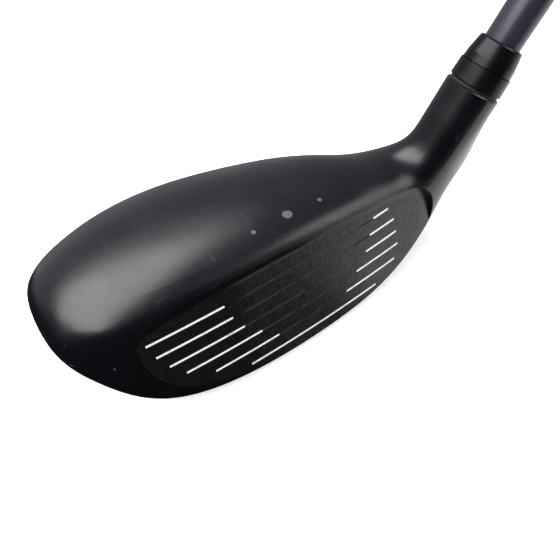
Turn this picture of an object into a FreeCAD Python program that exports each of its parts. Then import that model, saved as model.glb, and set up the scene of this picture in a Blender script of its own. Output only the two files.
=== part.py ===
import FreeCAD, Part
import os
from math import cos, pi, radians, sin, tan
from FreeCAD import Matrix, Placement, Vector

# Right-handed 19 degree hybrid golf club standing at address, in millimetres.
# +Z is up, -Y is the target side, and +X runs from the toe to the heel and the shaft.
# The origin is on the ground under the middle of the face, in the plane of the hosel axis.
# Lengths called s run along the hosel or shaft axis, from the ground upwards.

# ---- head as a whole ----
LIE = 59.5                       # angle between the ground and the hosel axis, degrees
LOFT = 19.0                      # loft at the face centre, degrees
AXIS_GROUND_X = 32.1             # where the hosel axis meets the ground

# ---- face ----
FACE_CENTRE = Vector(0.0, -10.7, 15.8)
BULGE_RADIUS = 390.0
FACE_THICKNESS = 2.1
LINE_PITCH = 4.24
LINE_TOP = 2.5                   # pitches from the face centre up to the first score line
PAINT_WIDTH = 0.8
PAINT_DEPTH = 0.4
FINE_WIDTH = 0.4
FINE_DEPTH = 0.15
# ends of the painted parts of each score line, from the top: toe outer, toe inner, heel inner, heel outer
LINES = [
    (-41.8, -22.4, 22.9, 28.2),
    (-40.8, -21.3, 21.1, 30.1),
    (-38.9, -19.2, 19.2, 30.6),
    (-36.0, -15.3, 15.3, 30.9),
    (-29.5, -11.2, 11.1, 29.2),
    (-20.4, 0.0, 0.0, 21.3),
]

# ---- outer form of the head ----
RING = 16                        # control points round a section
FACE_ALLOWANCE = 2.0             # metal ahead of the face before it is milled
# x, top line height, leading edge height, back edge height, sole height, back edge y
STATIONS = [
    (-59.0, 24.5, 22.0, 17.5, 15.0, 27.0),
    (-55.0, 28.0, 16.5, 15.5, 8.5, 35.0),
    (-46.5, 30.5, 7.5, 14.0, 3.0, 41.0),
    (-33.5, 32.0, 2.5, 14.5, 0.5, 44.5),
    (-17.0, 32.0, 0.5, 14.5, 0.1, 45.0),
    (0.0, 32.0, 0.2, 15.0, 0.1, 40.5),
    (18.0, 30.0, 0.8, 16.5, 0.6, 33.0),
]
TOE_SWEEP = {1: 5.6, 2: 1.1}     # how far the face line falls back at the toe stations
# heel sections stand on planes fanned about a pivot above the crown
PIVOT_X = 18.0
PIVOT_Z = 47.0
# plane angle, top radius, sole radius, metal ahead of the face, back edge y, roundness
FAN = [
    (18.0, 16.0, 50.5, 1.7, 28.5, 0.25),
    (34.0, 19.0, 51.0, 1.6, 19.0, 0.40),
    (48.0, 26.5, 49.5, 1.8, 14.0, 0.60),
]
NECK_FLARE = (1.20, 0.67)        # how much the heel side of the two neck sections is widened

# ---- walls ----
CROWN_WALL = 1.1
BACK_WALL = 1.6
SOLE_WALL = 1.8
EDGE_WALL = 1.8
TUBE_WALL_RADIUS = 7.3
HOLLOW_ROWS = 9                  # control rows that the hollow follows, counted from the toe

# ---- hosel, adapter and hosel screw ----
HOSEL_TOP = 52.7
HOSEL_RADIUS = 7.3
HOSEL_BORE = 5.9
HOSEL_CHAMFER = 0.35
SLEEVE_RADIUS = 5.85
SLEEVE_BOTTOM = 28.0
SLEEVE_FLOOR = 35.2              # the shaft tip stands here
TAPPED_TOP = 34.2
SPLINES = 12
SPLINE_BOTTOM = 28.6
SPLINE_TOP = 33.4
SPLINE_ROOT = 5.2
SPLINE_TIP = 5.8
SPLINE_WIDTH = 1.3
SPLINE_GAP = 0.06
COLLAR_GAP = 0.7                 # height of the nylon washer under the collar
WASHER_RADIUS = 6.6
WASHER_BORE = 5.95
COLLAR_TOP = 58.0
COLLAR_BOTTOM_RADIUS = 7.1
COLLAR_TOP_RADIUS = 6.85
FERRULE_TOP = 64.4
FERRULE_BOTTOM_RADIUS = 6.6
FERRULE_TOP_RADIUS = 5.6
SHELF_TOP = 27.5
SHELF_BOTTOM = 22.0
PORT_RADIUS = 4.75
PORT_BELOW = 12.0                # the port is cut from well under the sole
SCREW_RADIUS = 2.45
SCREW_THREAD = 2.5
SCREW_CLEARANCE = 2.8
SCREW_TIP = 33.6
SCREW_HEAD_RADIUS = 3.8
SCREW_HEAD_TOP = 21.0
SCREW_HEAD_HEIGHT = 4.2
SCREW_SOCKET = 2.9
RETAINER_TOP = 16.4
RETAINER_THICKNESS = 1.2
RETAINER_BORE = 3.1
POCKET_RADIUS = 4.1              # round the screw head and the ring that keeps it in

# ---- tilt of the shaft in its adapter ----
TILT = 1.0                       # angle between the hosel bore and the shaft bore, degrees
TILT_AT = 55.0                   # where the two axes cross
TILT_SIDE = 30.0                 # direction of the tilt round the hosel axis, degrees

# ---- shaft and grip ----
TIP_RADIUS = 4.7
BUTT_RADIUS = 7.62
TIP_PARALLEL_END = 130.0
SHAFT_BUTT = 1016.0
TIP_INNER = 3.0
BUTT_INNER = 6.7
PLUG_LENGTH = 14.0
TAPE = 0.15
GRIP_MOUTH = 752.0
GRIP_MOUTH_RADIUS = 9.0
GRIP_BUTT_RADIUS = 13.3
GRIP_RINGS = 3                   # shallow grooves round the mouth of the grip
GRIP_RING_PITCH = 3.2
CAP_THICKNESS = 5.0
CAP_RADIUS = 13.7
CAP_VENT = 1.5

# ---- sole weight ----
WEIGHT_X = -8.0
WEIGHT_Y = 29.5
WEIGHT_Z = 4.6
WEIGHT_TILT = 20.0               # the back of the sole rises, so the weight leans back with it
WEIGHT_RADIUS = 6.0
WEIGHT_DEPTH = 4.6
WEIGHT_STUB_RADIUS = 3.45
WEIGHT_STUB_LENGTH = 6.0
WEIGHT_GAP = 0.06
WEIGHT_SOCKET = 2.9
WEIGHT_SOCKET_DEPTH = 3.4
BOSS_RADIUS = 8.6
BOSS_HEIGHT = 11.3
O_RING_GROOVE = 5.1
O_RING_AT = 2.3
O_RING_WIDTH = 1.1
O_RING_SLACK = 0.05
O_RING_CORNER = 0.15

# ---- crown plate, crown dots and sole badge ----
CROWN_PLATE = [(-53.0, 24.0), (-48.0, 7.0), (-36.0, 1.5), (-17.0, -0.5), (0.0, -0.5), (10.0, 1.5),
               (14.0, 9.0), (11.0, 20.0), (0.0, 30.0), (-15.0, 37.0), (-31.0, 37.5), (-46.0, 33.0)]
CROWN_PLATE_FLOOR = 20.0
DOTS = [(1.5, 1.8, 1.25), (-8.3, 1.7, 0.6), (11.2, 1.6, 0.6)]
DOT_DEPTH = 0.25
BADGE_X = -14.0
BADGE_Y = 6.0
BADGE_LENGTH = 34.0
BADGE_WIDTH = 10.0
BADGE_DEPTH = 0.6
BADGE_REACH = 6.0                # the badge is cut from a block this far above and below the ground

lie = radians(LIE)
loft = radians(LOFT)
AXIS = Vector(cos(lie), 0, sin(lie))
HEEL_DOWN = Vector(sin(lie), 0, -cos(lie))
BACK = Vector(0, 1, 0)
FACE_UP = Vector(0, sin(loft), cos(loft))
FACE_OUT = Vector(0, -cos(loft), sin(loft))


def frame(origin, x, y, z):
    """Placement whose local axes are x, y and z."""
    return Placement(Matrix(x.x, y.x, z.x, origin.x,
                            x.y, y.y, z.y, origin.y,
                            x.z, y.z, z.z, origin.z,
                            0, 0, 0, 1))


def placed(shape, place):
    """Copy of a shape moved by a placement."""
    out = shape.copy()
    out.Placement = place.multiply(out.Placement)
    return out


HOSEL = frame(Vector(AXIS_GROUND_X, 0, 0), HEEL_DOWN, BACK, AXIS)
FACE = frame(FACE_CENTRE, Vector(1, 0, 0), FACE_UP, FACE_OUT)

tilt = radians(TILT)
side = radians(TILT_SIDE)
LEAN = HEEL_DOWN * cos(side) + BACK * sin(side)
CROSS = Vector(AXIS_GROUND_X, 0, 0) + AXIS * TILT_AT
SHAFT_AXIS = AXIS * cos(tilt) + LEAN * sin(tilt)
SHAFT_X = (BACK.cross(SHAFT_AXIS)).normalize()
SHAFT = frame(CROSS - SHAFT_AXIS * TILT_AT, SHAFT_X, SHAFT_AXIS.cross(SHAFT_X), SHAFT_AXIS)


def turned(profile):
    """Solid of revolution about Z of a closed (radius, height) outline."""
    points = [Vector(r, 0, h) for r, h in profile]
    face = Part.Face(Part.makePolygon(points + points[:1]))
    return face.revolve(Vector(0, 0, 0), Vector(0, 0, 1), 360)


def bar(radius, bottom, top):
    """Plain cylinder about Z."""
    return Part.makeCylinder(radius, top - bottom, Vector(0, 0, bottom))


def tube(outer, inner, bottom, top):
    """Plain ring or tube about Z."""
    return bar(outer, bottom, top).cut(bar(inner, bottom, top))


def six_lobe(radius, bottom, top):
    """Six-lobed socket of the given tip radius."""
    lobes = bar(radius * 0.8, bottom, top)
    for k in range(6):
        turn = k * pi / 3
        centre = Vector(radius * 0.78 * cos(turn), radius * 0.78 * sin(turn), bottom)
        lobes = lobes.fuse(Part.makeCylinder(radius * 0.22, top - bottom, centre))
    return lobes


def splines(width, radius, bottom, top):
    """Ring of straight radial teeth about Z."""
    teeth = []
    for k in range(SPLINES):
        tooth = Part.makeBox(radius, width, top - bottom, Vector(0, -width / 2, bottom))
        tooth.rotate(Vector(0, 0, 0), Vector(0, 0, 1), 360.0 * k / SPLINES)
        teeth.append(tooth)
    return teeth[0].multiFuse(teeth[1:]).common(bar(radius, bottom, top))


def face_y(x, z):
    """y of the bulged face at a given x and height."""
    plane = FACE_CENTRE.y + (z - FACE_CENTRE.z) * tan(loft)
    return plane + x * x / (2 * BULGE_RADIUS) / cos(loft)


def section(top, lead, edge, sole, back, line, allowance):
    """Control points (y, height) round one section, from the face over the crown and back under the sole."""
    middle = (top + lead) / 2
    points = [
        (line(middle) - allowance, middle),
        (line(top - 5) - 0.9 * allowance, top - 5),
        (line(top) - 0.2, top + 0.3),
        (line(top) + 4, top + 2.2),
    ]
    crown_front = line(top) + 4
    for part in (0.24, 0.46, 0.68, 0.87):
        fall = (1 - part ** 2.2) ** (1 / 1.5)
        points.append((crown_front + (back - crown_front) * part, edge + (top + 2.2 - edge) * fall))
    length = back - line(lead)
    points += [
        (back, edge + min(3.5, 0.3 * (top - edge))),
        (back + 0.3, edge - 1),
        (back - 3, edge - 0.45 * (edge - sole)),
        (back - 0.28 * length, sole + 0.16 * (edge - sole)),
        (back - 0.55 * length, sole),
        (back - 0.80 * length, sole),
        (line(lead) + 3, sole + 0.35 * (lead - sole)),
        (line(lead) - 0.8, lead + 1.5),
    ]
    return points


def head_rows():
    """Control rows of the head, from the toe to the hosel top."""
    rows = []
    for index, (x, top, lead, edge, sole, back) in enumerate(STATIONS):
        if index == 0:
            points = section(top, lead, edge, sole, back, lambda h: face_y(x, 13.6) + 8.4 + 0.15 * h, 0)
            mean_y = sum(p[0] for p in points) / RING
            mean_h = sum(p[1] for p in points) / RING
            rows.append([Vector(x, mean_y, mean_h)] * RING)
        else:
            sweep = TOE_SWEEP.get(index, 0)
            points = section(top, lead, edge, sole, back, lambda h: face_y(x, h) + sweep, FACE_ALLOWANCE)
        rows.append([Vector(x, y, h) for y, h in points])
    for angle, top, sole, allowance, back, roundness in FAN:
        turn = radians(angle)
        line = lambda h: face_y(PIVOT_X - h * sin(turn), PIVOT_Z + h * cos(turn))
        front = line(-(top + sole) / 2) - allowance
        flat = section(-top - 2.2, 3 - sole, -(top + sole) / 2, -sole, back, line, allowance)
        row = []
        for k in range(RING):
            round_y = (front + back) / 2 - (back - front) / 2 * 1.04 * cos(2 * pi * k / RING)
            round_h = -(top + sole) / 2 + (sole - top) / 2 * 1.04 * sin(2 * pi * k / RING)
            y = round_y * roundness + flat[k][0] * (1 - roundness)
            h = round_h * roundness + flat[k][1] * (1 - roundness)
            row.append(Vector(PIVOT_X - h * sin(turn), y, PIVOT_Z + h * cos(turn)))
        rows.append(row)
    foot = (PIVOT_X - AXIS_GROUND_X) * cos(lie) + PIVOT_Z * sin(lie)
    radius = HOSEL_RADIUS / (2.0 / 3 + cos(2 * pi / RING) / 3)
    necks = [(foot, NECK_FLARE[0]), (foot + 7, NECK_FLARE[1]), (HOSEL_TOP - 5, 0), (HOSEL_TOP, 0)]
    for s, flare in necks:
        row = []
        for k in range(RING):
            y = -radius * cos(2 * pi * k / RING)
            h = radius * sin(2 * pi * k / RING)
            h = h * (1 + flare) if h < 0 else h
            row.append(HOSEL.multVec(Vector(-h, y, s)))
        rows.append(row)
    return rows


def skin(rows):
    """Smooth surface over control rows, closed round each row and clamped at both ends."""
    poles = [[row[k] for row in rows] for k in range(RING)]
    count = len(rows)
    surface = Part.BSplineSurface()
    surface.buildFromPolesMultsKnots(
        poles, [1] * (RING + 1), [4] + [1] * (count - 4) + [4],
        list(range(RING + 1)), list(range(count - 2)), True, False, 3, 3)
    return surface.toShape()


def blank_solid(rows):
    """Solid under the head surface, closed with a flat disc at the hosel top."""
    wall = skin(rows)
    top = None
    for edge in wall.Edges:
        heights = [(HOSEL.inverse().multVec(v.Point)).z for v in edge.Vertexes]
        if not edge.Degenerated and edge.isClosed() and min(heights) > HOSEL_TOP - 0.01:
            top = edge
    shell = Part.makeShell([wall, Part.Face(Part.Wire([top]))])
    shell.sewShape()
    return outward(Part.makeSolid(shell))


def outward(solid):
    """The same solid with its volume counted positive."""
    if solid.Volume < 0:
        solid.reverse()
    return solid


def wall_at(k):
    """Wall thickness of the casting round a section."""
    if 3 <= k <= 7:
        return CROWN_WALL
    if 8 <= k <= 9:
        return BACK_WALL
    if 10 <= k <= 13:
        return SOLE_WALL
    return EDGE_WALL


def cavity_solid(rows, last):
    """Hollow inside the head: the control rows moved inwards by the wall, closed at both ends."""
    inner = []
    for j in range(1, last + 1):
        centre = Vector(0, 0, 0)
        for point in rows[j]:
            centre = centre + point * (1.0 / RING)
        row = []
        for k in range(RING):
            round_it = rows[j][(k + 1) % RING] - rows[j][k - 1]
            along = rows[j + 1][k] - rows[j - 1][k]
            normal = round_it.cross(along).normalize()
            if normal.dot(rows[j][k] - centre) < 0:
                normal = normal * -1
            row.append(rows[j][k] - normal * wall_at(k))
        inner.append(row)
    toe = rows[0][0] + Vector(BACK_WALL, 0, 0)
    heel = Vector(0, 0, 0)
    for point in rows[last + 1]:
        heel = heel + point * (1.0 / RING)
    solid = Part.makeSolid(Part.makeShell([skin([[toe] * RING] + inner + [[heel] * RING])]))
    return outward(solid)


def face_layer(front, back):
    """Curved layer between two depths measured behind the face (negative is ahead of it)."""
    length = 200
    outer = Part.makeCylinder(BULGE_RADIUS - front, length)
    if back is not None:
        outer = outer.cut(Part.makeCylinder(BULGE_RADIUS - back, length))
    centre = FACE_CENTRE - FACE_OUT * BULGE_RADIUS - FACE_UP * (length / 2)
    return placed(outer, frame(centre, Vector(1, 0, 0), FACE_OUT * -1, FACE_UP))


def face_prism(outline, depth, height):
    """Straight block over a wire drawn on the face plane."""
    block = Part.Face(outline).extrude(Vector(0, 0, depth + height))
    block.translate(Vector(0, 0, -depth))
    return placed(block, FACE)


def closed_spline(points):
    """Smooth closed wire in the XY plane."""
    curve = Part.BSplineCurve()
    curve.interpolate([Vector(x, y, 0) for x, y in points], PeriodicFlag=True)
    return Part.Wire([curve.toShape()])


# The milled face zone is open on three sides and ends at the heel in a rounded step.
ZONE_HEEL = [(29.2, 13.6), (34.7, 12.7), (40.1, 11.0), (43.5, 7.3), (44.6, 3.5), (44.7, -0.5),
             (43.4, -6.0)]
ZONE_FAR = 80.0
heel_curve = Part.BSplineCurve()
heel_curve.interpolate([Vector(x, y, 0) for x, y in ZONE_HEEL])
zone_corners = [Vector(ZONE_HEEL[-1][0], ZONE_HEEL[-1][1], 0), Vector(40.0, -ZONE_FAR, 0),
                Vector(-ZONE_FAR, -ZONE_FAR, 0), Vector(-ZONE_FAR, ZONE_FAR, 0),
                Vector(ZONE_HEEL[0][0], ZONE_FAR, 0), Vector(ZONE_HEEL[0][0], ZONE_HEEL[0][1], 0)]
zone_wire = Part.Wire([heel_curve.toShape()] + Part.makePolygon(zone_corners).Edges)

INSERT = [(-44.0, 10.0), (-43.8, 5.5), (-42.3, 0.5), (-38.5, -5.0), (-32.0, -9.2), (-22.0, -12.3),
          (-8.0, -13.6), (8.0, -13.6), (20.0, -12.4), (29.0, -10.0), (35.5, -6.5), (39.3, -2.0),
          (40.6, 3.0), (39.6, 7.5), (35.5, 10.6), (28.0, 12.0), (15.0, 13.9), (0.0, 15.0),
          (-15.0, 15.3), (-29.0, 14.9), (-38.0, 13.9), (-42.5, 12.4)]

rows = head_rows()
blank = blank_solid(rows)
zone_cut = face_prism(zone_wire, 60, 60).cut(face_layer(0, None))
outer = blank.cut(zone_cut)
chamfer = turned([
    (HOSEL_RADIUS - HOSEL_CHAMFER, HOSEL_TOP), (HOSEL_RADIUS + 1, HOSEL_TOP - HOSEL_CHAMFER - 1),
    (HOSEL_RADIUS + 1, HOSEL_TOP + 1), (HOSEL_RADIUS - HOSEL_CHAMFER, HOSEL_TOP + 1)])
outer = outer.cut(placed(chamfer, HOSEL))

# ---- hollow inside, with the hosel tube and the weight boss left standing ----
weight_lean = radians(WEIGHT_TILT)
WEIGHT_IN = Vector(0, -sin(weight_lean), cos(weight_lean))
ALONG = Vector(1, 0, 0)
WEIGHT = frame(Vector(WEIGHT_X, WEIGHT_Y, WEIGHT_Z), ALONG, WEIGHT_IN.cross(ALONG), WEIGHT_IN)
hollow = cavity_solid(rows, HOLLOW_ROWS)
hollow = hollow.common(face_layer(FACE_THICKNESS - 0.1, None))
hollow = hollow.cut(placed(bar(TUBE_WALL_RADIUS, -10, 60), HOSEL))
hollow = hollow.cut(placed(bar(BOSS_RADIUS, -10, BOSS_HEIGHT), WEIGHT))
shell = outer.cut(hollow)

# ---- face insert with its score lines ----
insert_block = face_prism(closed_spline(INSERT), 30, 20)
face_plate = insert_block.common(face_layer(0, FACE_THICKNESS))
shell = shell.cut(insert_block.common(face_layer(-5, FACE_THICKNESS)))


def line_block(first, last, width, row):
    """Block over one stretch of a score line."""
    centre = (LINE_TOP - row) * LINE_PITCH
    block = Part.makeBox(last - first, width, 40, Vector(first, centre - width / 2, -20))
    return placed(block, FACE)


painted = []
fine = []
for row, (toe_out, toe_in, heel_in, heel_out) in enumerate(LINES):
    if toe_in == heel_in:
        painted.append(line_block(toe_out, heel_out, PAINT_WIDTH, row))
    else:
        painted.append(line_block(toe_out, toe_in, PAINT_WIDTH, row))
        painted.append(line_block(heel_in, heel_out, PAINT_WIDTH, row))
        fine.append(line_block(toe_in, heel_in, FINE_WIDTH, row))
painted_blocks = Part.makeCompound(painted)
face_plate = face_plate.cut(painted_blocks.common(face_layer(-1, PAINT_DEPTH)))
face_plate = face_plate.cut(Part.makeCompound(fine).common(face_layer(-1, FINE_DEPTH)))
score_line_fill = painted_blocks.common(face_layer(0, PAINT_DEPTH))

# ---- crown plate, its dots, and the sole badge ----
def inlay(block, shift):
    """Thin layer of the head surface under a block, as deep as the shift."""
    top = block.common(outer)
    below = outer.copy()
    below.translate(shift)
    return top.cut(block.common(below))


dot_solids = []
for x, y, radius in DOTS:
    dot_block = Part.makeCylinder(radius, 40, Vector(x, y, 20))
    dot_solids.append(inlay(dot_block, Vector(0, 0, -DOT_DEPTH)))
crown_dots = Part.makeCompound(dot_solids)
shell = shell.cut(crown_dots)

crown_block = Part.Face(closed_spline(CROWN_PLATE)).extrude(Vector(0, 0, 60))
crown_block.translate(Vector(0, 0, CROWN_PLATE_FLOOR))
crown_plate = shell.common(crown_block)
head_body = shell.cut(crown_block)

badge_half = BADGE_LENGTH / 2 - BADGE_WIDTH / 2
badge_corner = Vector(BADGE_X - badge_half, BADGE_Y - BADGE_WIDTH / 2, -BADGE_REACH)
badge_plan = Part.makeBox(2 * badge_half, BADGE_WIDTH, 2 * BADGE_REACH, badge_corner)
for end in (-badge_half, badge_half):
    round_end = Part.makeCylinder(
        BADGE_WIDTH / 2, 2 * BADGE_REACH, Vector(BADGE_X + end, BADGE_Y, -BADGE_REACH))
    badge_plan = badge_plan.fuse(round_end)
badge_plan = badge_plan.removeSplitter()
sole_badge = inlay(badge_plan, Vector(0, 0, BADGE_DEPTH))
head_body = head_body.cut(sole_badge)

# ---- hosel bore with its splines, screw shelf and wrench port ----
root = SPLINE_ROOT + SPLINE_GAP
retainer_bottom = RETAINER_TOP - RETAINER_THICKNESS
bore = turned([
    (0, -PORT_BELOW), (PORT_RADIUS, -PORT_BELOW), (PORT_RADIUS, retainer_bottom),
    (POCKET_RADIUS, retainer_bottom), (POCKET_RADIUS, SHELF_BOTTOM), (SCREW_CLEARANCE, SHELF_BOTTOM),
    (SCREW_CLEARANCE, SHELF_TOP), (root, SHELF_TOP), (root, SPLINE_TOP + 0.3),
    (HOSEL_BORE, SPLINE_TOP + 0.3), (HOSEL_BORE, HOSEL_TOP - 0.4), (HOSEL_BORE + 0.4, HOSEL_TOP),
    (HOSEL_BORE + 0.4, HOSEL_TOP + 2), (0, HOSEL_TOP + 2)])
slots = splines(SPLINE_WIDTH + 2 * SPLINE_GAP, SPLINE_TIP + SPLINE_GAP, SHELF_TOP, SPLINE_TOP + 0.4)
head_body = head_body.cut(placed(bore.fuse(slots), HOSEL))

# ---- sole weight, its o-ring and its pocket ----
stub_end = WEIGHT_DEPTH + WEIGHT_STUB_LENGTH
pocket = bar(WEIGHT_RADIUS + WEIGHT_GAP, -8, WEIGHT_DEPTH)
pocket = pocket.fuse(bar(WEIGHT_STUB_RADIUS + WEIGHT_GAP, 0, stub_end + 0.6))
head_body = head_body.cut(placed(pocket, WEIGHT))
weight_screw = turned([
    (0, 0), (WEIGHT_RADIUS - 0.4, 0), (WEIGHT_RADIUS, 0.4), (WEIGHT_RADIUS, O_RING_AT),
    (O_RING_GROOVE, O_RING_AT), (O_RING_GROOVE, O_RING_AT + O_RING_WIDTH),
    (WEIGHT_RADIUS, O_RING_AT + O_RING_WIDTH), (WEIGHT_RADIUS, WEIGHT_DEPTH),
    (WEIGHT_STUB_RADIUS, WEIGHT_DEPTH), (WEIGHT_STUB_RADIUS, stub_end - 0.5),
    (WEIGHT_STUB_RADIUS - 0.5, stub_end), (0, stub_end)])
weight_screw = placed(weight_screw.cut(six_lobe(WEIGHT_SOCKET, -1, WEIGHT_SOCKET_DEPTH)), WEIGHT)
o_ring_inner = O_RING_GROOVE + O_RING_SLACK
o_ring_low = O_RING_AT + O_RING_SLACK
o_ring_high = O_RING_AT + O_RING_WIDTH - O_RING_SLACK
weight_o_ring = placed(turned([
    (o_ring_inner, o_ring_low), (WEIGHT_RADIUS - O_RING_CORNER, o_ring_low),
    (WEIGHT_RADIUS, o_ring_low + O_RING_CORNER), (WEIGHT_RADIUS, o_ring_high - O_RING_CORNER),
    (WEIGHT_RADIUS - O_RING_CORNER, o_ring_high), (o_ring_inner, o_ring_high)]), WEIGHT)

# ---- hosel screw, its washer and the ring that keeps it in the head ----
head_bottom = SCREW_HEAD_TOP - SCREW_HEAD_HEIGHT
hosel_screw = turned([
    (0, head_bottom), (SCREW_HEAD_RADIUS - 0.4, head_bottom), (SCREW_HEAD_RADIUS, head_bottom + 0.4),
    (SCREW_HEAD_RADIUS, SCREW_HEAD_TOP), (SCREW_RADIUS, SCREW_HEAD_TOP), (SCREW_RADIUS, SCREW_TIP - 0.6),
    (SCREW_RADIUS - 0.6, SCREW_TIP), (0, SCREW_TIP)])
hosel_screw = placed(hosel_screw.cut(six_lobe(SCREW_SOCKET, head_bottom - 1, head_bottom + 3)), HOSEL)
screw_washer = placed(tube(SCREW_HEAD_RADIUS, SCREW_RADIUS, SCREW_HEAD_TOP, SHELF_BOTTOM), HOSEL)
screw_retainer = placed(tube(POCKET_RADIUS, RETAINER_BORE, retainer_bottom, RETAINER_TOP), HOSEL)

# ---- adapter sleeve, washer and ferrule ----
collar_bottom = HOSEL_TOP + COLLAR_GAP
sleeve = turned([
    (0, SLEEVE_BOTTOM), (SPLINE_ROOT, SLEEVE_BOTTOM), (SPLINE_ROOT, SPLINE_TOP + 0.6),
    (SLEEVE_RADIUS, SPLINE_TOP + 1.25), (SLEEVE_RADIUS, collar_bottom),
    (COLLAR_BOTTOM_RADIUS - 0.25, collar_bottom), (COLLAR_BOTTOM_RADIUS, collar_bottom + 0.25),
    (COLLAR_TOP_RADIUS, COLLAR_TOP + 0.6), (0, COLLAR_TOP + 0.6)])
sleeve = sleeve.fuse(splines(SPLINE_WIDTH, SPLINE_TIP, SPLINE_BOTTOM, SPLINE_TOP))
sleeve = sleeve.cut(bar(SCREW_THREAD, SLEEVE_BOTTOM - 1, TAPPED_TOP))
hosel_sleeve = placed(sleeve, HOSEL)
above_collar = placed(bar(20, COLLAR_TOP, COLLAR_TOP + 20), SHAFT)
shaft_bore = placed(bar(TIP_RADIUS, SLEEVE_FLOOR, COLLAR_TOP + 10), SHAFT)
hosel_sleeve = hosel_sleeve.cut(above_collar).cut(shaft_bore)
collar_washer = placed(tube(WASHER_RADIUS, WASHER_BORE, HOSEL_TOP, collar_bottom), HOSEL)
ferrule = placed(turned([
    (TIP_RADIUS, COLLAR_TOP), (FERRULE_BOTTOM_RADIUS - 0.2, COLLAR_TOP),
    (FERRULE_BOTTOM_RADIUS, COLLAR_TOP + 0.2),
    (FERRULE_BOTTOM_RADIUS - 0.15, COLLAR_TOP + 2.2), (FERRULE_TOP_RADIUS + 0.1, FERRULE_TOP - 0.4),
    (FERRULE_TOP_RADIUS - 0.25, FERRULE_TOP), (TIP_RADIUS, FERRULE_TOP)]), SHAFT)


# ---- shaft and grip ----
def shaft_radius(s):
    """Outer radius of the shaft at a distance along it."""
    taper = max(0.0, (s - TIP_PARALLEL_END) / (SHAFT_BUTT - TIP_PARALLEL_END))
    return TIP_RADIUS + (BUTT_RADIUS - TIP_RADIUS) * taper


shaft = placed(turned([
    (TIP_INNER, SLEEVE_FLOOR), (TIP_RADIUS, SLEEVE_FLOOR), (TIP_RADIUS, TIP_PARALLEL_END),
    (BUTT_RADIUS, SHAFT_BUTT), (BUTT_INNER, SHAFT_BUTT), (TIP_INNER, TIP_PARALLEL_END)]), SHAFT)
tip_plug = placed(bar(TIP_INNER, SLEEVE_FLOOR + 1, SLEEVE_FLOOR + 1 + PLUG_LENGTH), SHAFT)

mouth = GRIP_MOUTH
grip_tape = placed(turned([
    (shaft_radius(mouth), mouth), (shaft_radius(mouth) + TAPE, mouth),
    (BUTT_RADIUS + TAPE, SHAFT_BUTT), (BUTT_RADIUS, SHAFT_BUTT)]), SHAFT)
grip_taper_top = SHAFT_BUTT - 16
grip_outline = [
    (shaft_radius(mouth) + TAPE, mouth), (GRIP_MOUTH_RADIUS - 0.4, mouth), (GRIP_MOUTH_RADIUS, mouth + 0.6)]
for ring in range(GRIP_RINGS):
    start = mouth + 4 + GRIP_RING_PITCH * ring
    grip_outline += [(GRIP_MOUTH_RADIUS + 0.1, start), (GRIP_MOUTH_RADIUS - 0.4, start + 0.4),
                     (GRIP_MOUTH_RADIUS - 0.4, start + 1.2), (GRIP_MOUTH_RADIUS + 0.1, start + 1.6)]
grip_outline += [
    (GRIP_MOUTH_RADIUS + 0.9, mouth + 60), (GRIP_MOUTH_RADIUS + 2.2, mouth + 150),
    (GRIP_BUTT_RADIUS - 0.6, grip_taper_top), (CAP_RADIUS, SHAFT_BUTT - 3), (CAP_RADIUS, SHAFT_BUTT),
    (BUTT_RADIUS + TAPE, SHAFT_BUTT)]
grip_sleeve = placed(turned(grip_outline), SHAFT)
cap_top = SHAFT_BUTT + CAP_THICKNESS
grip_cap = placed(turned([
    (CAP_VENT, SHAFT_BUTT), (CAP_RADIUS, SHAFT_BUTT), (CAP_RADIUS, SHAFT_BUTT + 1.5),
    (CAP_RADIUS - 0.8, cap_top - 1.6), (CAP_RADIUS - 2.6, cap_top - 0.3), (CAP_RADIUS - 4.5, cap_top),
    (CAP_VENT, cap_top)]), SHAFT)

NODES = {
    "head_body": head_body,
    "crown_plate": crown_plate,
    "face_plate": face_plate,
    "score_line_fill": score_line_fill,
    "crown_alignment_dots": crown_dots,
    "sole_badge": sole_badge,
    "screw_retainer": screw_retainer,
    "hosel_screw": hosel_screw,
    "screw_washer": screw_washer,
    "weight_screw": weight_screw,
    "weight_o_ring": weight_o_ring,
    "collar_washer": collar_washer,
    "hosel_sleeve": hosel_sleeve,
    "ferrule": ferrule,
    "shaft": shaft,
    "tip_plug": tip_plug,
    "grip_tape": grip_tape,
    "grip_sleeve": grip_sleeve,
    "grip_cap": grip_cap,
}

os.makedirs("parts", exist_ok=True)
for name, shape in NODES.items():
    shape.exportStep("parts/" + name + ".step")
    box = shape.BoundBox
    print("%-22s %9.1f mm3, %2d solids, valid %s, z from %.2f to %.2f"
          % (name, shape.Volume, len(shape.Solids), shape.isValid(), box.ZMin, box.ZMax))
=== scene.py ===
import math

import bmesh
import bpy
from mathutils import Euler, Matrix, Quaternion, Vector

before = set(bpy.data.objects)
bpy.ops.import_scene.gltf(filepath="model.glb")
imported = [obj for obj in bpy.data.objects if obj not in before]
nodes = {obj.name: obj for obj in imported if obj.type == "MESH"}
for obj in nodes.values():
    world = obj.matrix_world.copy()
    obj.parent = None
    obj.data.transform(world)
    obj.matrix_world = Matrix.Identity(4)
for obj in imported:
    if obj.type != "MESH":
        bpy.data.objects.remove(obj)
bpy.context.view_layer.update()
MM = 0.001

# The club in metres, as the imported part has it.
LOFT = math.radians(19.0)
FACE_CENTRE = Vector((0.0, -10.7, 15.8)) * MM
FACE_UP = Vector((0.0, math.sin(LOFT), math.cos(LOFT)))
LINE_PITCH = 4.24 * MM
LIE = math.radians(59.5)
HOSEL_AXIS = Vector((math.cos(LIE), 0.0, math.sin(LIE)))

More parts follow.
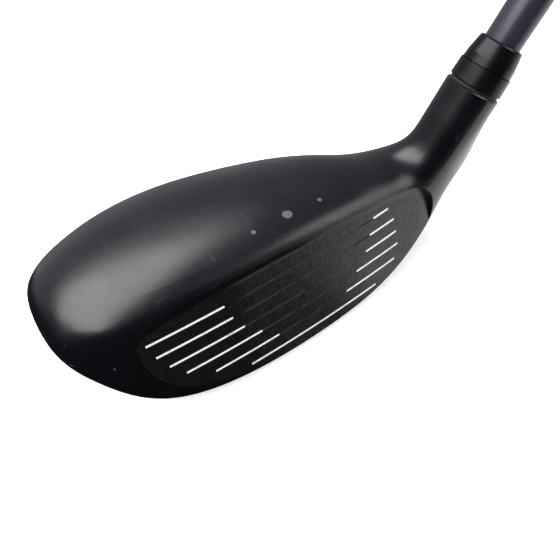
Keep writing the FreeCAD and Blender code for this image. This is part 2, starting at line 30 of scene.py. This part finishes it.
# Surface marks that only the materials have.
MILL_PITCH = 0.36 * MM               # cutter rows on the face
BLAST_INNER = 16.0 * MM              # half width of the blasted middle of the face,
BLAST_OUTER = 21.0 * MM              # and where it has faded out
WRAP_PITCH = 1.6 * MM                # tape ridges left on the shaft
FULL_TURN = 2 * math.pi


# ---------------------------------------------------------------- materials
class Look:
    """One node material with a principled shader."""

    def __init__(self, name, color, roughness, metallic=0.0, specular=0.5):
        self.material = bpy.data.materials.new(name)
        self.material.use_nodes = True
        self.tree = self.material.node_tree
        self.shader = self.tree.nodes["Principled BSDF"]
        self.set("Base Color", (*color, 1.0))
        self.set("Roughness", roughness)
        self.set("Metallic", metallic)
        self.set("Specular IOR Level", specular)
        self.place = self.tree.nodes.new("ShaderNodeTexCoord").outputs["Object"]

    def set(self, socket, value):
        self.shader.inputs[socket].default_value = value

    def link(self, out, socket):
        self.tree.links.new(out, self.shader.inputs[socket])

    def node(self, kind, inputs=None, **options):
        made = self.tree.nodes.new(kind)
        for key, value in options.items():
            setattr(made, key, value)
        for key, value in (inputs or {}).items():
            if isinstance(value, bpy.types.NodeSocket):
                self.tree.links.new(value, made.inputs[key])
            else:
                made.inputs[key].default_value = value
        return made

    def stretched(self, scale, turn=(0.0, 0.0, 0.0)):
        made = self.node("ShaderNodeMapping", {"Vector": self.place, "Scale": scale, "Rotation": turn})
        return made.outputs["Vector"]

    def noise(self, scale, detail=3.0, place=None, roughness=0.5):
        made = self.node("ShaderNodeTexNoise", {
            "Vector": place or self.place, "Scale": scale, "Detail": detail, "Roughness": roughness})
        return made.outputs["Fac"]

    def cells(self, scale):
        made = self.node("ShaderNodeTexVoronoi", {"Vector": self.place, "Scale": scale})
        return made.outputs["Distance"]

    def between(self, value, low, high, to_low=0.0, to_high=1.0):
        made = self.node("ShaderNodeMapRange", {
            "Value": value, "From Min": low, "From Max": high, "To Min": to_low, "To Max": to_high},
            interpolation_type="SMOOTHSTEP")
        return made.outputs["Result"]

    def math(self, kind, a, b=0.0):
        return self.node("ShaderNodeMath", {0: a, 1: b}, operation=kind).outputs[0]

    def colour_mix(self, share, a, b):
        made = self.node("ShaderNodeMix", {"Factor": share}, data_type="RGBA")
        for key, value in ((6, a), (7, b)):
            if isinstance(value, bpy.types.NodeSocket):
                self.tree.links.new(value, made.inputs[key])
            else:
                made.inputs[key].default_value = (*value, 1.0)
        return made.outputs[2]

    def dot(self, direction, origin=(0.0, 0.0, 0.0)):
        moved = self.node("ShaderNodeVectorMath", {0: self.place, 1: tuple(origin)}, operation="SUBTRACT")
        made = self.node(
            "ShaderNodeVectorMath", {0: moved.outputs[0], 1: tuple(direction)}, operation="DOT_PRODUCT")
        return made.outputs["Value"]

    def from_line(self):
        """Distance from the middle of the nearest score line, in score line pitches."""
        rows = self.math("DIVIDE", self.dot(FACE_UP, FACE_CENTRE), LINE_PITCH)
        return self.math("ABSOLUTE", self.math("SUBTRACT", self.math("FRACT", rows), 0.5))

    def bump(self, height, depth, strength):
        inputs = {"Height": height, "Distance": depth, "Strength": strength}
        return self.node("ShaderNodeBump", inputs).outputs["Normal"]


def put(look, *names):
    """Gives a look to CAD nodes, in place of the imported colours."""
    for name in names:
        mesh = nodes[name].data
        mesh.materials.clear()
        mesh.materials.append(look.material)


def coated(name, color, roughness):
    """Satin black coating with a fine orange peel, hairline scratches and small nicks."""
    look = Look(name, color, roughness, specular=0.5)
    cloud = look.noise(90.0, 4.0)
    grain = look.noise(2600.0, 2.0)
    nick_cells = look.cells(230.0)
    nick_mask = look.between(look.noise(160.0, 1.0), 0.60, 0.66)
    nicks = look.math("MULTIPLY", look.between(nick_cells, 0.085, 0.05), nick_mask)
    hair_place = look.stretched((110.0, 1500.0, 300.0), (0.25, 0.1, 0.7))
    hair = look.between(look.noise(1.0, 1.0, hair_place), 0.745, 0.775)
    cross_place = look.stretched((1300.0, 130.0, 240.0), (0.1, 0.4, -0.5))
    cross_hair = look.between(look.noise(1.0, 1.0, cross_place), 0.75, 0.78)
    marks = look.math("MULTIPLY", look.math("MAXIMUM", hair, cross_hair), 0.12)
    marks = look.math("MAXIMUM", marks, look.math("MULTIPLY", nicks, 0.6))
    light = tuple(c * 1.35 for c in color)
    paint = look.colour_mix(cloud, color, light)
    look.link(look.colour_mix(marks, paint, (0.16, 0.16, 0.17)), "Base Color")
    look.link(look.between(cloud, 0.3, 0.7, roughness - 0.03, roughness + 0.04), "Roughness")
    height = look.math("SUBTRACT", grain, look.math("MULTIPLY", marks, 2.0))
    look.link(look.bump(height, 0.004 * MM, 0.3), "Normal")
    return look


put(coated("satin_black", (0.0024, 0.0022, 0.0042), 0.31), "head_body", "crown_plate")

# face: milled black metal, blasted between the painted ends of the score lines, with lighter line edges that
# are partly rubbed wear and partly a painted highlight on the groove lips
face = Look("face_black", (0.006, 0.006, 0.006), 0.42, specular=0.5)
row_height = face.math("MULTIPLY", face.dot(FACE_UP, FACE_CENTRE), FULL_TURN / MILL_PITCH)
mill = face.math("SINE", face.math("ADD", row_height, face.math("MULTIPLY", face.noise(300.0), 3.0)))
blast = face.noise(2400.0, 3.0, roughness=0.7)
speck = face.between(face.cells(1500.0), 0.22, 0.12)
speck = face.math("MULTIPLY", speck, face.between(face.noise(500.0, 2.0), 0.5, 0.62))
middle = face.between(face.math("ABSOLUTE", face.dot((1.0, 0.0, 0.0))), BLAST_OUTER, BLAST_INNER)
mottle = face.math("MULTIPLY", face.between(face.noise(1100.0, 5.0, roughness=0.65), 0.42, 0.62), middle)
across = face.from_line()
# painted highlight: a lighter band along both edges of each fine score line, in rubbed patches, stands in for
# light catching the groove lips as well as for wear
worn_and_highlit_lips = face.math("MULTIPLY", face.between(across, 0.078, 0.058), face.between(across, 0.034, 0.050))
rubbed = face.between(face.noise(420.0, 2.0), 0.25, 0.5)
worn_and_highlit_lips = face.math("MULTIPLY", face.math("MULTIPLY", worn_and_highlit_lips, middle), rubbed)
tone = face.colour_mix(face.noise(260.0, 4.0), (0.004, 0.004, 0.004), (0.010, 0.010, 0.010))
tone = face.colour_mix(mottle, tone, (0.015, 0.015, 0.015))
# the pale mix carries the real light flecks and the painted highlight on the groove lips
flecks_and_lip_highlight = face.math("MAXIMUM", face.math("MULTIPLY", speck, 0.8), face.math("MULTIPLY", worn_and_highlit_lips, 0.9))
face.link(face.colour_mix(flecks_and_lip_highlight, tone, (0.09, 0.09, 0.09)), "Base Color")
face.link(face.between(face.noise(700.0), 0.3, 0.7, 0.36, 0.48), "Roughness")
rough = face.math("ADD", face.math("MULTIPLY", mill, 0.15), blast)
rough = face.math("ADD", rough, face.math("MULTIPLY", mottle, 2.5))
face.link(face.bump(rough, 0.03 * MM, 0.8), "Normal")
put(face, "face_plate")

# off-white line paint, worn in patches, with painted shade towards the groove edges
line = Look("line_paint", (0.66, 0.63, 0.57), 0.5)
worn = line.math("MULTIPLY", line.between(line.noise(700.0, 3.0), 0.50, 0.75), 0.5)
# painted shade: the paint is darkened towards both edges of each groove, where the recess would shade it
groove_edge_shade = line.between(line.from_line(), 0.052, 0.082)
wear_and_edge_shade = line.math("MAXIMUM", worn, groove_edge_shade)
# the dark brown colour serves both the worn patches and the painted shade at the groove edges
line.link(line.colour_mix(wear_and_edge_shade, (0.74, 0.70, 0.63), (0.15, 0.13, 0.11)), "Base Color")
line.link(line.bump(line.noise(4000.0), 0.01 * MM, 0.4), "Normal")
put(line, "score_line_fill")

# grey dot paint
dots = Look("dot_paint", (0.075, 0.075, 0.085), 0.5)
dots.link(dots.colour_mix(dots.noise(1500.0, 3.0), (0.062, 0.062, 0.07), (0.095, 0.095, 0.105)), "Base Color")
put(dots, "crown_alignment_dots")


def machined(name, color, roughness, metallic, specular=0.5, pitch=0.25 * MM, axis=HOSEL_AXIS,
             depth=0.006 * MM):
    """Turned surface with fine rings round an axis."""
    look = Look(name, color, roughness, metallic, specular)
    rings = look.math("MULTIPLY", look.dot(axis), FULL_TURN / pitch)
    height = look.math("ADD", look.math("SINE", rings), look.noise(3000.0, 2.0))
    cloud = look.noise(200.0, 3.0)
    look.link(look.colour_mix(cloud, color, tuple(c * 1.3 for c in color)), "Base Color")
    look.link(look.between(cloud, 0.3, 0.7, roughness - 0.04, roughness + 0.04), "Roughness")
    look.link(look.bump(height, depth, 0.4), "Normal")
    return look


put(machined("anodised_black", (0.003, 0.003, 0.004), 0.33, 0.0, specular=0.28), "hosel_sleeve")
put(machined("ferrule_black", (0.003, 0.003, 0.004), 0.30, 0.0, specular=0.26, depth=0.002 * MM),
    "ferrule")
put(machined("washer_nylon", (0.012, 0.012, 0.012), 0.6, 0.0), "collar_washer")
put(machined("screw_steel", (0.10, 0.10, 0.11), 0.35, 1.0), "hosel_screw")
put(machined("plain_steel", (0.45, 0.45, 0.46), 0.30, 1.0), "screw_washer", "screw_retainer")
put(machined("blasted_weight", (0.33, 0.33, 0.34), 0.45, 1.0), "weight_screw")
put(machined("nitrile", (0.02, 0.02, 0.02), 0.55, 0.0), "weight_o_ring")
put(machined("badge_anodised", (0.07, 0.07, 0.08), 0.38, 0.8, axis=Vector((1, 0, 0)), pitch=0.2 * MM),
    "sole_badge")
put(machined("brass", (0.60, 0.45, 0.20), 0.35, 1.0), "tip_plug")

# shaft: dark slate paint over carbon, under a clear coat
shaft = Look("shaft_paint", (0.024, 0.025, 0.036), 0.34, metallic=0.1, specular=0.36)
shaft.set("Coat Weight", 0.2)
shaft.set("Coat Roughness", 0.16)
flake = shaft.noise(3500.0, 2.0)
shaft.link(shaft.colour_mix(flake, (0.020, 0.021, 0.031), (0.036, 0.037, 0.050)), "Base Color")
wrap = shaft.math("SINE", shaft.math("MULTIPLY", shaft.dot(HOSEL_AXIS), FULL_TURN / WRAP_PITCH))
shaft.link(shaft.bump(wrap, 0.004 * MM, 0.2), "Normal")
put(shaft, "shaft")

# grip: moulded rubber
grip = Look("grip_rubber", (0.018, 0.018, 0.018), 0.72, specular=0.35)
pits = grip.between(grip.cells(420.0), 0.18, 0.42)
cloud = grip.noise(60.0, 4.0)
grip.link(grip.colour_mix(cloud, (0.014, 0.014, 0.014), (0.026, 0.026, 0.026)), "Base Color")
grip.link(grip.bump(grip.math("ADD", pits, grip.noise(1800.0)), 0.15 * MM, 0.7), "Normal")
put(grip, "grip_sleeve", "grip_cap")

# tape between the shaft and the grip
tape = Look("masking_tape", (0.66, 0.60, 0.46), 0.8)
tape.link(tape.colour_mix(tape.noise(1500.0, 3.0), (0.60, 0.54, 0.40), (0.72, 0.66, 0.52)), "Base Color")
tape.link(tape.bump(tape.noise(900.0), 0.05 * MM, 0.5), "Normal")
put(tape, "grip_tape")


# ---------------------------------------------------------------- stage and light
def plane(name, size, place):
    """Level square card, which belongs to the stage."""
    mesh = bpy.data.meshes.new(name)
    half = size / 2
    corners = [(-half, -half, 0), (half, -half, 0), (half, half, 0), (-half, half, 0)]
    mesh.from_pydata(corners, [], [(0, 1, 2, 3)])
    card = bpy.data.objects.new(name, mesh)
    card.matrix_world = Matrix.Translation(place)
    bpy.context.scene.collection.objects.link(card)
    return card


FLOOR_SIZE = 16.0
FLOOR_DROP = 0.1 * MM                # the floor's top below the ground that the club stands on
floor = plane("floor", FLOOR_SIZE, (0.0, 0.0, -FLOOR_DROP))
floor_look = Look("floor_white", (0.55, 0.55, 0.55), 0.8, specular=0.1)
floor_look.set("Emission Color", (1.0, 1.0, 1.0, 1.0))
floor_look.set("Emission Strength", 0.55)
floor_look.link(floor_look.between(floor_look.noise(3.0), 0.0, 1.0, 0.78, 0.82), "Roughness")
floor.data.materials.append(floor_look.material)
floor.visible_glossy = False

# pale backdrop all round, which only the camera sees
BACKDROP_RADIUS = 7.5
backdrop_mesh = bpy.data.meshes.new("backdrop")
dome = bmesh.new()
bmesh.ops.create_icosphere(dome, subdivisions=4, radius=BACKDROP_RADIUS)
dome.to_mesh(backdrop_mesh)
dome.free()
backdrop = bpy.data.objects.new("backdrop", backdrop_mesh)
bpy.context.scene.collection.objects.link(backdrop)
backdrop_look = Look("backdrop_white", (0.02, 0.02, 0.02), 1.0, specular=0.0)
backdrop_look.set("Emission Color", (1.0, 1.0, 1.0, 1.0))
backdrop_look.set("Emission Strength", 0.78)
backdrop_look.link(backdrop_look.between(backdrop_look.noise(3.0), 0.0, 1.0, 0.95, 1.0), "Roughness")
backdrop_mesh.materials.append(backdrop_look.material)
backdrop.visible_diffuse = False
backdrop.visible_glossy = False
backdrop.visible_shadow = False

# cards that only shiny surfaces see: black flags, and a white bounce card on the ground
dark = Look("flag_black", (0.01, 0.01, 0.01), 0.9, specular=0.0)
dark.link(dark.between(dark.noise(3.0), 0.0, 1.0, 0.88, 0.92), "Roughness")
FLAG_RADIUS = 0.5
CARD_LIFT = 0.1 * MM                 # inner edge of the level cards above the ground
# azimuth in degrees from the back towards the heel, height in metres
FLAG_TOPS = ((149, 0.75), (218, 0.75), (228, 0.37), (262, 0.37), (276, 0.40), (306, 0.36), (318, 0.28))
BOUNCE_TOPS = ((88, 0.0), (149, 0.0))
DEGREES_PER_QUAD = 4


def card_edge(azimuth, inner, outer, low, high, top):
    """Both edges of a card at one azimuth, measured from the back towards the heel."""
    away = Vector((math.sin(math.radians(azimuth)), math.cos(math.radians(azimuth)), 0.0))
    return [away * inner + Vector((0.0, 0.0, low)), away * outer + Vector((0.0, 0.0, high * top))]


def card_ring(name, look, tops, inner, outer, low, high):
    """Curved card round the club: its inner edge is at height low, its outer edge at high times the top."""
    points = []
    for (start, top), (end, next_top) in zip(tops, tops[1:]):
        steps = max(1, (end - start) // DEGREES_PER_QUAD)
        for k in range(steps):
            share = k / steps
            azimuth = start + (end - start) * share
            points += card_edge(azimuth, inner, outer, low, high, top + (next_top - top) * share)
    points += card_edge(tops[-1][0], inner, outer, low, high, tops[-1][1])
    quads = [(2 * k, 2 * k + 1, 2 * k + 3, 2 * k + 2) for k in range(len(points) // 2 - 1)]
    mesh = bpy.data.meshes.new(name)
    mesh.from_pydata(points, [], quads)
    card = bpy.data.objects.new(name, mesh)
    bpy.context.scene.collection.objects.link(card)
    mesh.materials.append(look.material)
    card.visible_camera = False
    card.visible_diffuse = False
    card.visible_shadow = False


bounce = Look("bounce_white", (0.7, 0.7, 0.7), 0.9, specular=0.0)
bounce.set("Emission Color", (1.0, 1.0, 1.0, 1.0))
bounce.set("Emission Strength", 0.5)
bounce.link(bounce.between(bounce.noise(3.0), 0.0, 1.0, 0.88, 0.92), "Roughness")
card_ring("flag_wall", dark, FLAG_TOPS, inner=FLAG_RADIUS, outer=FLAG_RADIUS, low=0.0, high=1.0)
card_ring("flag_floor", dark, FLAG_TOPS, inner=0.02, outer=FLAG_RADIUS, low=CARD_LIFT, high=0.0)
card_ring("bounce_floor", bounce, BOUNCE_TOPS, inner=0.03, outer=FLAG_RADIUS, low=CARD_LIFT, high=0.0)


def softbox(name, place, turn, width, height, radiance):
    """Rectangular light of an even brightness, in metres, facing down before its turn."""
    data = bpy.data.lights.new(name, "AREA")
    data.shape = "RECTANGLE"
    data.size = width
    data.size_y = height
    data.energy = math.pi * width * height * radiance
    lamp = bpy.data.objects.new(name, data)
    lamp.location = place
    lamp.rotation_mode = "QUATERNION"
    lamp.rotation_quaternion = turn
    lamp.visible_camera = False
    bpy.context.scene.collection.objects.link(lamp)


# a broad window-like panel overhead on the toe side, and a smaller one from the heel and the target side
key_turn = Quaternion((0.0, 0.0, 1.0), math.radians(140.0))
softbox("key", (-0.82, 0.69, 1.1), key_turn, width=1.5, height=2.6, radiance=8.0)
heel_turn = Vector((-0.76, 0.44, -0.82)).to_track_quat("-Z", "Y")
softbox("heel", (0.76, -0.44, 0.84), heel_turn, width=0.7, height=0.6, radiance=4.4)

world = bpy.data.worlds.new("studio")
bpy.context.scene.world = world
world.use_nodes = True
background = world.node_tree.nodes["Background"]
background.inputs["Color"].default_value = (0.50, 0.50, 0.54, 1.0)

# ---------------------------------------------------------------- camera
CAMERA_PLACE = Vector((-52.13, -67.05, 130.89)) * MM
CAMERA_TURN = Euler((math.radians(35.0), math.radians(-0.44), math.radians(-36.29)))
camera_data = bpy.data.cameras.new("camera")
camera_data.sensor_width = 36.0
camera_data.lens = 35.177
camera_data.clip_start = 0.01
camera_data.clip_end = 50.0
camera = bpy.data.objects.new("camera", camera_data)
camera.matrix_world = Matrix.LocRotScale(CAMERA_PLACE, CAMERA_TURN, None)
bpy.context.scene.collection.objects.link(camera)
bpy.context.scene.camera = camera
bpy.context.scene.view_settings.view_transform = "Standard"
bpy.context.scene.view_settings.gamma = 0.84
